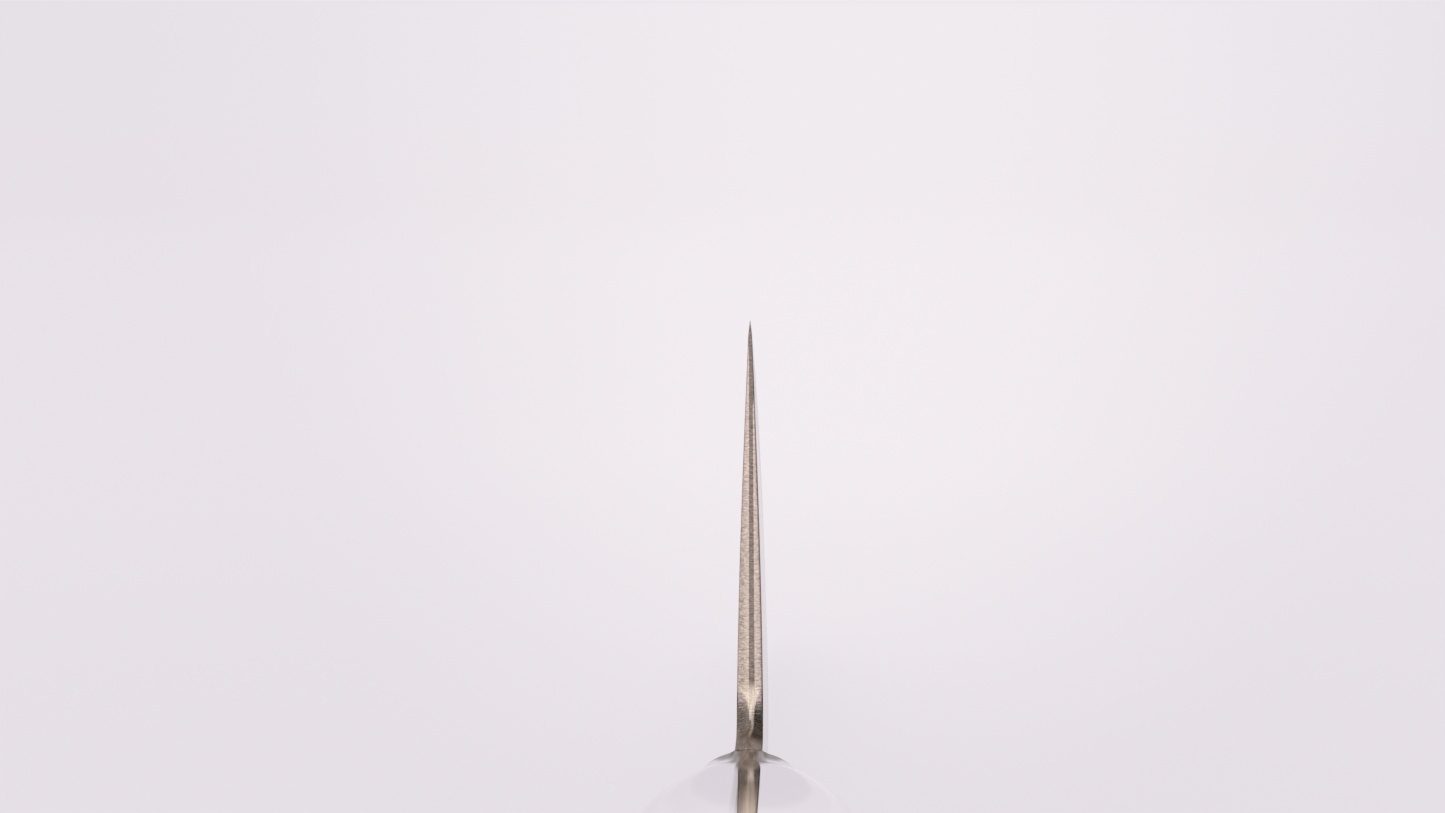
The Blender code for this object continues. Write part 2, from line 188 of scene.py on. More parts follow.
def back_z(s):
    return 1.5 * smooth(-92, -122, s) + butt(s, 4.5)


def belly_z(s):
    v = BOLSTER_FRONT - max(s, BOLSTER_REAR)
    z = BOLSTER_APEX + BOLSTER_RISE * v + BOLSTER_HOLLOW * v * v
    z += 3.0 * smooth(-44, -72, s)
    z -= 1.1 * smooth(-72, -93, s)
    z += 5.4 * smooth(-89, -117, s)
    return z - butt(s, 7.0)


def half_width(s):
    v = max(0.0, BOLSTER_FRONT - s)
    w = BOLSTER_NOSE + (BOLSTER_HALF - BOLSTER_NOSE) * (1 - math.exp(-v / BOLSTER_FLARE))
    w += (HANDLE_HALF - BOLSTER_HALF) * smooth(-38, -68, s) - 0.35 * smooth(-78, -100, s)
    w += 0.35 * smooth(-100, -118, s)
    return w - butt(s, 3.2)


def flat_half(s):
    """Half width of the flat along the back and the belly."""
    nose = 0.85 - 0.55 * smooth(BOLSTER_FRONT, -12.0, s)
    return nose + 0.95 * smooth(-41.5, BOLSTER_REAR, s) + 1.15 * smooth(BOLSTER_REAR, -60, s)


def section_power(s):
    return 2.15 + 0.3 * smooth(-42, -64, s)


def envelope_x(s, z):
    """Half width of the handle's outside at height z."""
    lo, hi = back_z(s), belly_z(s)
    q = clamp(abs(z - (lo + hi) / 2) / ((hi - lo) / 2), 0.0, 1.0)
    f, w, n = flat_half(s), half_width(s), section_power(s)
    f = min(f, w - 0.1)
    return f + (w - f) * (1 - q**n) ** (1 / n)


def half_section(s, m):
    """Points (x, z) of the envelope's right half, from the back round to the belly."""
    lo, hi = back_z(s), belly_z(s)
    mid, b = (lo + hi) / 2, (hi - lo) / 2
    f, w, n = flat_half(s), half_width(s), section_power(s)
    f = min(f, w - 0.1)
    points = []
    for j in range(m + 1):
        a = math.pi * j / m
        c, d = math.cos(a), math.sin(a)
        points.append((f + (w - f) * max(d, 0.0) ** (2 / n), mid - b * math.copysign(abs(c) ** (2 / n), c)))
    return points


def below(s, z, start):
    """How far a point lies below the line where a cladding begins."""
    return edge_z(s) - z - start(s)


def clad_inner(s, z, start, core):
    d = below(s, z, start)
    if d > clad_ramp(s) - 1e-4:
        return core(s, z) + LAYER_GAP
    full = core(s, z) + LAYER_GAP
    return (outer(s, z) - CLAD_FEATHER) + (full - outer(s, z) + CLAD_FEATHER) * max(d, 0.0) / clad_ramp(s)


def core_outer(s, z, start, core):
    if s > CLAD_END + 0.2:
        return outer(s, z)
    if below(s, z, start) < -1e-4:
        return outer(s, z)
    return clad_inner(s, z, start, core) - LAYER_GAP


# The visible layers meet without the seam's gap, and the cladding ends in a thinner feather.
LAYER_GAP = 0.0
CLAD_FEATHER = 0.006
CLAD_LIP = 0.04
EASE_LEFT, EASE_RIGHT = 0.065, 0.14      # broken edges of the choil
SHOW_SEAT = TANG_HALF + 0.03
DIP = 0.30


# ---------------------------------------------------------------- meshes
def at(x, s, z):
    return (x * MM, (s + Y_OF_HEEL) * MM, z * MM)


def table(u, rows, col):
    """Straight-line look-up in rows (u, a, b, ...)."""
    if u <= rows[0][0]:
        return rows[0][col]
    for r0, r1 in zip(rows, rows[1:]):
        if u <= r1[0]:
            t = (u - r0[0]) / (r1[0] - r0[0])
            return r0[col] + (r1[col] - r0[col]) * t
    return rows[-1][col]


def finish(name, bm, mats, nodes, crease=32, merge=0.0):
    if merge:
        bmesh.ops.remove_doubles(bm, verts=bm.verts[:], dist=merge)
    bmesh.ops.recalc_face_normals(bm, faces=bm.faces[:])
    mesh = bpy.data.meshes.new(name)
    bm.to_mesh(mesh)
    bm.free()
    mesh.shade_smooth()
    mesh.set_sharp_from_angle(angle=math.radians(crease))
    for mat in mats:
        mesh.materials.append(mat)
    obj = bpy.data.objects.new(name, mesh)
    bpy.context.scene.collection.objects.link(obj)
    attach(obj, "root")
    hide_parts(*nodes)
    return obj


# The hand-filed corner between choil and neck. u runs in mm along the profile: below zero on
# the choil, round the fillet, then along the neck. Two facets fall away from a narrow ridge:
# (u, ridge's left side, ridge's right side, left fall, right fall)
FILLET_LENGTH = CHOIL_RADIUS * math.pi / 2
RIDGE = (
    (-0.40, -0.98, 0.98, 0.00, 0.00),
    (0.00, -0.95, 0.90, 0.06, 0.10),
    (0.30, -0.90, 0.80, 0.20, 0.20),
    (0.50, -0.80, 0.72, 0.32, 0.26),
    (0.75, -0.50, 0.58, 0.40, 0.33),
    (1.05, -0.22, 0.43, 0.42, 0.42),
    (1.60, -0.12, 0.32, 0.42, 0.54),
    (2.10, -0.07, 0.30, 0.42, 0.58),
    (2.50, -0.07, 0.28, 0.42, 0.58),
    (2.75, 0.12, 0.27, 0.40, 0.56),
    (3.35, 0.14, 0.25, 0.38, 0.54),
    (3.90, 0.08, 0.19, 0.36, 0.52),
    (4.40, 0.00, 0.16, 0.34, 0.52),
    (7.70, -0.17, 0.02, 0.32, 0.52),
    (10.80, -0.05, 0.12, 0.30, 0.50),
)


def path_u(s, z):
    if s >= -1e-9:
        return -(z - NECK_HEIGHT - CHOIL_RADIUS)
    if s > -CHOIL_RADIUS:
        return CHOIL_RADIUS * math.acos(clamp(1 + s / CHOIL_RADIUS, 0.0, 1.0))
    return FILLET_LENGTH + (-CHOIL_RADIUS - s)


def ease(d, e):
    """Depth of a rounded edge of radius e at distance d from the corner."""
    if d >= e:
        return 0.0
    return e * (1 - math.sqrt(max(0.0, 1 - (1 - d / e) ** 2)))


def ease_sizes(s, z):
    half = outer(max(s, BOLSTER_FRONT + 0.05), z)
    return min(EASE_LEFT, 0.3 * half), min(EASE_RIGHT, 0.3 * half), half


def rim_delta(x, s, z):
    u = path_u(s, z)
    el, er, half = ease_sizes(s, z)
    d = ease(half + x, el) + ease(half - x, er)
    if u > RIDGE[0][0]:
        xl, xr = table(u, RIDGE, 1), table(u, RIDGE, 2)
        fl, fr = table(u, RIDGE, 3), table(u, RIDGE, 4)
        for run, fall in ((xl - x, fl), (x - xr, fr)):
            if run > -0.04:
                soft = (run + 0.04) ** 2 / 0.16 if run < 0.04 else run
                d += fall * soft
    return d


def rim_point(x, s, z):
    phi = clamp(path_u(s, z) / CHOIL_RADIUS, 0.0, math.pi / 2)
    d = rim_delta(x, s, z)
    return at(x, s + math.cos(phi) * d, z - math.sin(phi) * d)


NECK_COLS = spread(BOLSTER_FRONT + 0.05, -CHOIL_RADIUS, 9)
FILLET_COLS = [-CHOIL_RADIUS * (1 - math.sin(math.pi / 2 * k / 26)) for k in range(1, 27)]
BLADE_COLS = [0.0, 0.12, 0.35, 0.8, 1.5, 2.6, 4.0] + spread(6.0, 138.0, 66) + [140.0, 142.0, CLAD_END]
POINT_COLS = ((145.0, 26), (146.0, 18), (147.2, 12), (148.4, 7), (149.4, 4), (BLADE_LENGTH, 2))


def foot_column(s):
    if s <= 0:
        low, top = 0.0, neck_top(s)
    else:
        low = spine_z(s)
        knee = edge_z(s) - start_right(s) - clad_ramp(s)
        top = low + min((edge_z(s) - low) * (NECK_HEIGHT + CHOIL_RADIUS) / HEEL_HEIGHT, (knee - low) * 0.6)
    return [(s, low + (top - low) * m) for m in (0.0, 0.02, 0.12, 0.3, 0.5, 0.7, 0.86, 0.95, 1.0)]


def upper_column(s, stops):
    base = foot_column(s)[-1][1]
    e, r, l, ramp = edge_z(s), start_right(s), start_left(s), clad_ramp(s)
    rows = spread(base, e - r - ramp, 40)
    rows += [e - r - ramp * t for t in (0.75, 0.5, 0.25)] + [e - r]
    if stops != "right":
        rows += [e - r + CLAD_LIP] + spread(e - r + CLAD_LIP, e - l - ramp, 6)[1:]
        rows += [e - l - ramp * t for t in (0.75, 0.5, 0.25)] + [e - l]
    if stops == "core":
        rows += [e - l + CLAD_LIP, e - 0.5 * (l + 0.62), e - 0.62, e - 0.3, e]
    return [(s, z) for z in rows]


class Net:
    def __init__(self):
        self.points, self.cells, self.index, self.rim = [], [], {}, set()

    def point(self, p, rim=False):
        key = (round(p[0], 6), round(p[1], 6))
        if key not in self.index:
            self.index[key] = len(self.points)
            self.points.append(p)
        if rim:
            self.rim.add(self.index[key])
        return self.index[key]

    def columns(self, cols):
        for c0, c1 in zip(cols, cols[1:]):
            for j in range(len(c0) - 1):
                quad = [self.point(c0[j]), self.point(c1[j]), self.point(c1[j + 1]), self.point(c0[j + 1])]
                if len(set(quad)) == 4:
                    self.cells.append(quad)

    def bridge(self, c0, c1):
        def share(c, j):
            return (c[j][1] - c[0][1]) / (c[-1][1] - c[0][1])

        i = j = 0
        while i < len(c0) - 1 or j < len(c1) - 1:
            step0 = share(c0, i + 1) if i < len(c0) - 1 else 9.0
            step1 = share(c1, j + 1) if j < len(c1) - 1 else 9.0
            a, b = self.point(c0[i]), self.point(c1[j])
            if step0 <= step1:
                i += 1
                self.cells.append([a, b, self.point(c0[i])])
            else:
                j += 1
                self.cells.append([a, b, self.point(c1[j])])


def layer(name, stops, left, right, mats):
    """One layer of the blade: side faces, and the ground rim over choil and neck."""
    net = Net()
    foots = [foot_column(s) for s in NECK_COLS + FILLET_COLS]
    net.columns(foots)
    net.columns([foot_column(s) for s in BLADE_COLS])
    uppers = [upper_column(s, stops) for s in BLADE_COLS]
    net.columns(uppers)
    for col in foots:
        net.point(col[-1], True)
    for p in uppers[0]:
        net.point(p, True)
    if stops == "core":
        column = foot_column(CLAD_END) + uppers[-1][1:]
        for s, rows in POINT_COLS:
            following = [(s, z) for z in spread(spine_z(s), edge_z(s), rows - 1)]
            net.bridge(column, following)
            column = following
    bm = bmesh.new()
    edge_darkening = bm.verts.layers.float.new("darkened_edge")
    trail = bm.verts.layers.float.new("trail")
    painted_ridge_highlight = bm.verts.layers.float.new("painted_ridge_highlight")
    fall = bm.verts.layers.float.new("right_facet_shade")

    def rim_vert(x, s, z):
        v = bm.verts.new(rim_point(x, s, z))
        el, er, half = ease_sizes(s, z)
        # The choil's broken edges are painted darker: the right one fully, the left one about half as much.
        v[edge_darkening] = max(clamp(1.05 - (half - x) / er, 0.0, 1.0), 0.55 * clamp(1.15 - (half + x) / el, 0.0, 1.0))
        u = path_u(s, z)
        v[trail] = u * MM
        xl, xr = table(u, RIDGE, 1), table(u, RIDGE, 2)
        # A highlight is painted along the ridge: 1 on the ridge, fading off it, over the lower fillet and the start of
        # the neck.
        reach = clamp((u - 1.3) / 0.7, 0.0, 1.0)
        v[painted_ridge_highlight] = clamp(1.75 - abs(x - (xl + xr) / 2 + 0.05) / 0.075, 0.0, 1.0) * reach * clamp((6.4 - u) / 1.6, 0.0, 1.0)
        # Shade is painted on the facet right of the ridge, over the fillet and along the neck.
        v[fall] = clamp((x - xr + 0.02) / 0.08, 0.0, 1.0) * clamp((u - 1.4) / 1.3, 0.0, 1.0) * clamp((8.0 - u) / 3.6, 0.0, 1.0)
        return v

    def vert(i, side):
        s, z = net.points[i]
        x = side(s, z)
        return rim_vert(x, s, z) if i in net.rim else bm.verts.new(at(x, s, z))

    lo = [vert(i, left) for i in range(len(net.points))]
    hi = [vert(i, right) for i in range(len(net.points))]
    edges = set()
    for cell in net.cells:
        bm.faces.new([lo[i] for i in cell])
        bm.faces.new([hi[i] for i in reversed(cell)])
        edges.update(zip(cell, cell[1:] + cell[:1]))
    strips = {}

    def strip(i):
        """The points across the rim at one place on the profile."""
        if i not in strips:
            s, z = net.points[i]
            a, b = left(s, z), right(s, z)
            el, er, half = ease_sizes(s, z)
            width = b - a
            xs = []
            bare_l, bare_r = abs(a + half) < 1e-3, abs(b - half) < 1e-3
            e0 = min(el, 0.4 * width) if bare_l else 0.0
            e1 = min(er, 0.4 * width) if bare_r else 0.0
            if bare_l or stops == "core":
                xs += [a + e0 * t for t in (0.02, 0.1, 0.25, 0.5, 0.75, 1.0)]
            inner = 10 if stops != "core" else 8
            c, d = a + e0, b - e1
            xs += [c + (d - c) * k / (inner + 1) for k in range(1, inner + 1)]
            if bare_r or stops == "core":
                xs += [b - e1 * t for t in (1.0, 0.75, 0.5, 0.25, 0.1, 0.02)]
            strips[i] = [lo[i]] + [rim_vert(x, s, z) for x in xs] + [hi[i]]
        return strips[i]

    for a, b in sorted(edges):
        if (b, a) in edges:
            continue
        if a in net.rim and b in net.rim:
            ra, rb = strip(a), strip(b)
            for k in range(len(ra) - 1):
                face = bm.faces.new((rb[k], ra[k], ra[k + 1], rb[k + 1]))
                face.material_index = 1
        elif a in strips or b in strips:
            ends = []
            ra = strip(a) if a in net.rim else [lo[a], hi[a]]
            rb = strip(b) if b in net.rim else [lo[b], hi[b]]
            ends = rb + list(reversed(ra))
            bm.faces.new(list(reversed(ends)))
        else:
            pts = []
            ra = strip(a) if a in net.rim else [lo[a], hi[a]]
            rb = strip(b) if b in net.rim else [lo[b], hi[b]]
            bm.faces.new(list(reversed(rb + list(reversed(ra)))))
    return finish(name, bm, mats, [name.replace("show_", "")], 40, 1e-8)


def web(x, v):
    """The foot of the neck, and the hollow between the bolster's front rim and its crown."""
    a = abs(x)
    foot = 0.39 * math.exp(-((max(0.0, a - 0.70) / 0.35) ** 1.3)) * math.exp(-((v / 2.6) ** 1.6))
    u = clamp(v / 5.0, 0.0, 1.0)
    hollow = DIP * smooth(0.62, 0.98, a) * (1 - smooth(3.0, 4.8, a)) * 6.75 * u * (1 - u) ** 2
    return foot - hollow


def bolster_section(s, m):
    v = BOLSTER_FRONT - s
    lo, hi = back_z(s), belly_z(s)
    mid, b = (lo + hi) / 2, (hi - lo) / 2
    w = half_width(BOLSTER_FRONT - (math.sqrt(v * v + 0.04) - 0.2)) if s > -34 else half_width(s)
    n = section_power(s)
    f = min(flat_half(s), w - 0.1)
    out = []
    for j in range(m + 1):
        t = j / m
        a = math.pi * (t - 0.10 * math.sin(2 * math.pi * t) / 1.0)
        c, d = math.cos(a), math.sin(a)
        x = f + (w - f) * max(d, 0.0) ** (2 / n)
        z = mid - b * math.copysign(abs(c) ** (2 / n), c)
        if c < 0:
            z += web(x, v) * min(1.0, -c * 3)
        out.append((x, z))
    return out


def build_bolster(mat):
    m = 88
    stations = [BOLSTER_FRONT - (BOLSTER_FRONT - BOLSTER_REAR) * (k / 80) ** 1.9 for k in range(81)]
    bm = bmesh.new()
    rings = []
    for s in stations:
        half = bolster_section(s, m)
        top = half[-1][0]
        across = [top * t for t in (0.75, 0.5, 0.25, 0.0, -0.25, -0.5, -0.75)]
        v = BOLSTER_FRONT - s
        loop = [at(x, s, z) for x, z in half]
        loop += [at(x, s, half[-1][1]) for x in across]
        loop += [at(-x, s, z) for x, z in reversed(half)]
        loop += [at(-x * half[0][0] / top, s, half[0][1]) for x in across]
        rings.append([bm.verts.new(p) for p in loop])
    for r0, r1 in zip(rings, rings[1:]):
        for k in range(len(r0)):
            j = (k + 1) % len(r0)
            bm.faces.new((r0[k], r0[j], r1[j], r1[k]))
    bm.faces.new(list(reversed(rings[0])))
    bm.faces.new(rings[-1])
    return finish("show_bolster", bm, [mat], ["bolster"], 50)


HANDLE_COLS = [BOLSTER_REAR - 0.03, BOLSTER_REAR - 0.10] + spread(BOLSTER_REAR - 1.0, -118.0, 76) + [
    HANDLE_END + 7.0 * (1 - math.sin(math.pi / 2 * k / 16)) for k in range(0, 17)
]


def build_scale(side, name, mat):
    m = 44
    bm = bmesh.new()
    rings = []
    for k, s in enumerate(HANDLE_COLS):
        half = half_section(s, m)
        shrink = 0.06 if k == 0 else 0.0
        lo, hi = half[0][1], half[-1][1]
        pts = [(x - shrink, z + (shrink if z < (lo + hi) / 2 else -shrink)) for x, z in half]
        # the corners beside the tang are broken a little
        x0 = pts[-1][0]
        pts = [(SHOW_SEAT + 0.07, pts[0][1])] + pts + [(SHOW_SEAT + 0.07, pts[-1][1])]
        pts += [(SHOW_SEAT, pts[-1][1] - 0.05), (SHOW_SEAT, pts[0][1] + 0.05)]
        rings.append([bm.verts.new(at(side * x, s, z)) for x, z in pts])
    for r0, r1 in zip(rings, rings[1:]):
        for k in range(len(r0)):
            j = (k + 1) % len(r0)
            bm.faces.new((r0[k], r0[j], r1[j], r1[k]))
    bm.faces.new(list(reversed(rings[0])))
    bm.faces.new(rings[-1])
    return finish("show_" + name, bm, [mat], [name], 40)


def build_tang(mat):
    bm = bmesh.new()
    rings = []
    tongue = [(s, TANG_LOW, TANG_HIGH) for s in (TANG_FRONT, BOLSTER_REAR - 0.02)]
    body = [(s, back_z(s), belly_z(s)) for s in HANDLE_COLS]
    for s, z0, z1 in tongue + body:
        e = 0.05
        pts = [(-TANG_HALF, z0 + e), (-TANG_HALF + e, z0), (TANG_HALF - e, z0), (TANG_HALF, z0 + e),
               (TANG_HALF, z1 - e), (TANG_HALF - e, z1), (-TANG_HALF + e, z1), (-TANG_HALF, z1 - e)]
        rings.append([bm.verts.new(at(x, s, z)) for x, z in pts])
    for r0, r1 in zip(rings, rings[1:]):
        for k in range(len(r0)):
            j = (k + 1) % len(r0)
            bm.faces.new((r0[k], r0[j], r1[j], r1[k]))
    bm.faces.new(list(reversed(rings[0])))
    bm.faces.new(rings[-1])
    return finish("show_tang", bm, [mat], ["tang"], 30)


def build_rivet(name, side, s, z, female, mat):
    seg = 64
    bm = bmesh.new()

    def ring(r, x, drop=0.0):
        out = []
        for k in range(seg):
            a = 2 * math.pi * k / seg
            p, q = s + r * math.cos(a), z + r * math.sin(a)
            out.append(bm.verts.new(at(side * (envelope_x(p, q) - drop if x is None else x), p, q)))
        return out

    head = RIVET_HEAD_R
    rings = [ring(r, None, 0.0) for r in (0.6, 1.2, 1.8, 2.4, 3.0, head - 0.16)]
    rings += [ring(head - 0.07, None, 0.008), ring(head - 0.02, None, 0.05), ring(head, None, 0.14), ring(head, RIVET_SEAT)]
    if female:
        rings += [ring(RIVET_TUBE_R, RIVET_SEAT), ring(RIVET_TUBE_R, -RIVET_TUBE_END),
                  ring(RIVET_BORE_R, -RIVET_TUBE_END), ring(RIVET_BORE_R, RIVET_BORE_END)]
    else:
        rings += [ring(RIVET_PIN_R, RIVET_SEAT), ring(RIVET_PIN_R, -(RIVET_BORE_END - 0.4))]
    for r0, r1 in zip(rings, rings[1:]):
        for k in range(seg):
            j = (k + 1) % seg
            bm.faces.new((r0[k], r0[j], r1[j], r1[k]))
    top = bm.verts.new(at(side * envelope_x(s, z), s, z))
    for k in range(seg):
        bm.faces.new((rings[0][(k + 1) % seg], rings[0][k], top))
    bm.faces.new(rings[-1])
    return finish("show_" + name, bm, [mat], [name], 35)


def drill(obj, side):
    """Opens the scale for the rivets' heads and tubes."""
    for s, z in RIVETS:
        bm = bmesh.new()
        rings = []
        for x, r in ((0.0, RIVET_TUBE_R + 0.05), (RIVET_SEAT - 0.05, RIVET_TUBE_R + 0.05),
                     (RIVET_SEAT - 0.05, RIVET_HEAD_R + 0.035), (14.0, RIVET_HEAD_R + 0.035)):
            rings.append([bm.verts.new(at(side * x, s + r * math.cos(2 * math.pi * k / 64),
                                          z + r * math.sin(2 * math.pi * k / 64))) for k in range(64)])
        for r0, r1 in zip(rings, rings[1:]):
            for k in range(64):
                j = (k + 1) % 64
                bm.faces.new((r0[k], r0[j], r1[j], r1[k]))
        bm.faces.new(list(reversed(rings[0])))
        bm.faces.new(rings[-1])
        bmesh.ops.recalc_face_normals(bm, faces=bm.faces[:])
        mesh = bpy.data.meshes.new("drill")
        bm.to_mesh(mesh)
        bm.free()
        cutter = bpy.data.objects.new("drill", mesh)
        bpy.context.scene.collection.objects.link(cutter)
        mod = obj.modifiers.new("hole", "BOOLEAN")
        mod.operation = "DIFFERENCE"
        mod.solver = "EXACT"
        mod.object = cutter
        deps = bpy.context.evaluated_depsgraph_get()
        made = bpy.data.meshes.new_from_object(obj.evaluated_get(deps), depsgraph=deps)
        obj.modifiers.clear()
        old = obj.data
        obj.data = made
        bpy.data.meshes.remove(old)
        bpy.data.objects.remove(cutter, do_unlink=True)
    obj.data.shade_smooth()
    obj.data.set_sharp_from_angle(angle=math.radians(35))


# ---------------------------------------------------------------- materials
class Tree:
    """Short names for building node trees."""

    def __init__(self, owner, clear=True):
        self.tree = owner.node_tree
        if clear:
            self.tree.nodes.clear()

    def node(self, kind, **props):
        n = self.tree.nodes.new(kind)
        for key, value in props.items():
            setattr(n, key, value)
        return n

    def put(self, socket, value):
        if isinstance(value, bpy.types.NodeSocket):
            self.tree.links.new(value, socket)
        elif value is not None:
            socket.default_value = value

    def math(self, op, a, b=None, c=None, clamped=False):
        n = self.node("ShaderNodeMath", operation=op, use_clamp=clamped)
        for socket, value in zip(n.inputs, (a, b, c)):
            self.put(socket, value)
        return n.outputs[0]

    def dot(self, a, b):
        n = self.node("ShaderNodeVectorMath", operation="DOT_PRODUCT")
        self.put(n.inputs[0], a)
        self.put(n.inputs[1], b)
        return n.outputs["Value"]

    def step(self, value, lo, hi, out_lo=0.0, out_hi=1.0):
        n = self.node("ShaderNodeMapRange", interpolation_type="SMOOTHSTEP")
        for socket, v in zip(n.inputs, (value, lo, hi, out_lo, out_hi)):
            self.put(socket, v)
        return n.outputs["Result"]

    def combine(self, x, y, z):
        n = self.node("ShaderNodeCombineXYZ")
        for socket, v in zip(n.inputs, (x, y, z)):
            self.put(socket, v)
        return n.outputs[0]

    def scaled(self, vector, scale, offset=(0, 0, 0), turn=(0, 0, 0)):
        n = self.node("ShaderNodeMapping")
        self.put(n.inputs["Vector"], vector)
        n.inputs["Scale"].default_value = scale
        n.inputs["Location"].default_value = offset
        n.inputs["Rotation"].default_value = turn
        return n.outputs[0]

    def noise(self, vector, scale=1.0, detail=3.0, rough=0.5, warp=0.0):
        n = self.node("ShaderNodeTexNoise")
        self.put(n.inputs["Vector"], vector)
        n.inputs["Scale"].default_value = scale
        n.inputs["Detail"].default_value = detail
        n.inputs["Roughness"].default_value = rough
        n.inputs["Distortion"].default_value = warp
        return n.outputs["Fac"]

    def mix(self, fac, a, b, blend="MIX"):
        n = self.node("ShaderNodeMix", data_type="RGBA", blend_type=blend)
        self.put(n.inputs[0], fac)
        for socket, value in ((n.inputs[6], a), (n.inputs[7], b)):
            self.put(socket, (*value, 1.0) if isinstance(value, tuple) and len(value) == 3 else value)
        return n.outputs[2]

    def bump(self, height, strength, distance, normal=None):
        n = self.node("ShaderNodeBump")
        n.inputs["Strength"].default_value = strength
        n.inputs["Distance"].default_value = distance
        self.put(n.inputs["Height"], height)
        if normal is not None:
            self.put(n.inputs["Normal"], normal)
        return n.outputs[0]


def surface(name, metallic):
    mat = bpy.data.materials.new(name)
    mat.use_nodes = True
    t = Tree(mat)
    out = t.node("ShaderNodeOutputMaterial")
    bsdf = t.node("ShaderNodeBsdfPrincipled")
    t.tree.links.new(bsdf.outputs[0], out.inputs[0])
    bsdf.inputs["Metallic"].default_value = metallic
    coords = t.node("ShaderNodeTexCoord").outputs["Object"]
    return mat, t, bsdf, coords


def choil_steel(name, colour, dark, core):
    """The ground rim over choil and neck: fine marks across it, coarser file marks in the corner."""
    mat, t, bsdf, co = surface(name, 1.0)
    y = t.dot(co, (0.0, 1.0, 0.0))
    z = t.dot(co, (0.0, 0.0, 1.0))
    along = t.node("ShaderNodeAttribute", attribute_name="trail").outputs["Fac"]   # runs down the rim
    across = t.dot(co, (1.0, 0.0, 0.0))
    bowed = t.math("ADD", along, t.math("MULTIPLY", t.math("MULTIPLY", across, across), 90.0))
    flat = t.combine(across, 0.0, bowed)
    fine = t.noise(t.scaled(flat, (2600, 1, 7600)), 1.0, 4.0, 0.70, 0.5)
    speck = t.noise(t.scaled(flat, (4800, 1, 6000), (3.1, 0, 1.7)), 1.0, 2.0, 0.6)
    broad = t.noise(t.scaled(flat, (900, 1, 700), (0.4, 0, 9.0)), 1.0, 2.0, 0.5)
    upright = t.noise(t.scaled(flat, (9000, 1, 500), (1.4, 0, 5.0)), 1.0, 2.0, 0.5)
    scratch = t.noise(t.scaled(flat, (260, 1, 14000), (8.0, 0, 2.0)), 1.0, 3.0, 0.7)
    lines = t.step(scratch, 0.55, 0.63)
    corner = t.step(z, 0.0166, 0.0158)                       # 1 in the filed corner
    near_neck = t.step(z, 0.0149, 0.0142)
    neck = t.step(y, -0.0137, -0.0150)                       # 1 on the neck
    tone = t.mix(t.step(fine, 0.38, 0.61), dark, colour)
    tone = t.mix(t.math("MULTIPLY", t.step(speck, 0.52, 0.66), 0.60), tone, tuple(min(1.0, c * 1.35) for c in colour))
    tone = t.mix(t.math("MULTIPLY", t.step(broad, 0.40, 0.72), 0.25), tone, dark)
    if core:
        tone = t.mix(corner, tone, (0.64, 0.55, 0.48))
    else:
        inner = t.math("SUBTRACT", 0.000340, t.math("MULTIPLY", t.math("SUBTRACT", z, 0.0133), 0.00717))
        off_core = t.math("MAXIMUM", t.math("SUBTRACT", -0.000075, across), t.math("SUBTRACT", across, inner))
        tone = t.mix(t.math("MULTIPLY", t.step(off_core, 0.00050, 0.00005), 0.38), tone, (0.93, 0.80, 0.71))
    tone = t.mix(t.math("MULTIPLY", t.math("MULTIPLY", t.step(upright, 0.45, 0.62), corner), 0.25), tone, dark)
    patchy = t.noise(t.scaled(flat, (2400, 1, 620), (5.0, 0, 1.0)), 1.0, 3.0, 0.6)
    tone = t.mix(t.math("MULTIPLY", neck, 0.55), tone, t.mix(t.step(patchy, 0.38, 0.62), (0.17, 0.145, 0.125), (0.46, 0.395, 0.34)))
    tone = t.mix(t.math("MULTIPLY", t.math("MULTIPLY", lines, near_neck), 0.60), tone, (0.92, 0.83, 0.74))
    # The broken edges are painted a dark grey-brown.
    edge = t.node("ShaderNodeAttribute", attribute_name="darkened_edge").outputs["Fac"]
    tone = t.mix(t.math("MULTIPLY", edge, 0.88), tone, (0.10, 0.085, 0.075))
    painted_ridge_highlight = t.node("ShaderNodeAttribute", attribute_name="painted_ridge_highlight").outputs["Fac"]
    fall = t.node("ShaderNodeAttribute", attribute_name="right_facet_shade").outputs["Fac"]
    # Painted shade: the facet right of the ridge gets a darker specular tint and a darker colour.
    tint = t.mix(t.math("MULTIPLY", fall, 0.78), (0.62, 0.56, 0.50), (0.20, 0.18, 0.16))
    tone = t.mix(t.math("MULTIPLY", fall, 0.78), tone, (0.11, 0.093, 0.082))
    # Painted highlight: along the ridge, where the fine marks are bright, the colour and the specular tint are
    # lightened.
    painted_highlight = t.math("MULTIPLY", painted_ridge_highlight, t.step(fine, 0.20, 0.55))
    t.put(bsdf.inputs["Specular Tint"], t.mix(t.math("MULTIPLY", painted_highlight, 0.95), tint, (1.0, 0.93, 0.86)))
    tone = t.mix(t.math("MULTIPLY", painted_highlight, 0.92), tone, (1.0, 0.91, 0.82))
    t.put(bsdf.inputs["Base Color"], tone)
    rough = t.math("ADD", t.math("MULTIPLY", fine, 0.22), 0.22)
    rough = t.math("SUBTRACT", rough, t.math("MULTIPLY", corner, 0.06))
    rough = t.math("ADD", rough, t.math("MULTIPLY", lines, 0.06))
    rough = t.math("ADD", rough, t.math("MULTIPLY", neck, 0.10))
    t.put(bsdf.inputs["Roughness"], rough)
    height = t.math("ADD", t.math("MULTIPLY", fine, 0.7), t.math("MULTIPLY", speck, 0.3))
    normal = t.bump(height, 0.75, 0.00006)
    normal = t.bump(t.math("MULTIPLY", lines, near_neck), 0.9, 0.00003, normal)
    t.put(bsdf.inputs["Normal"], normal)
    return mat


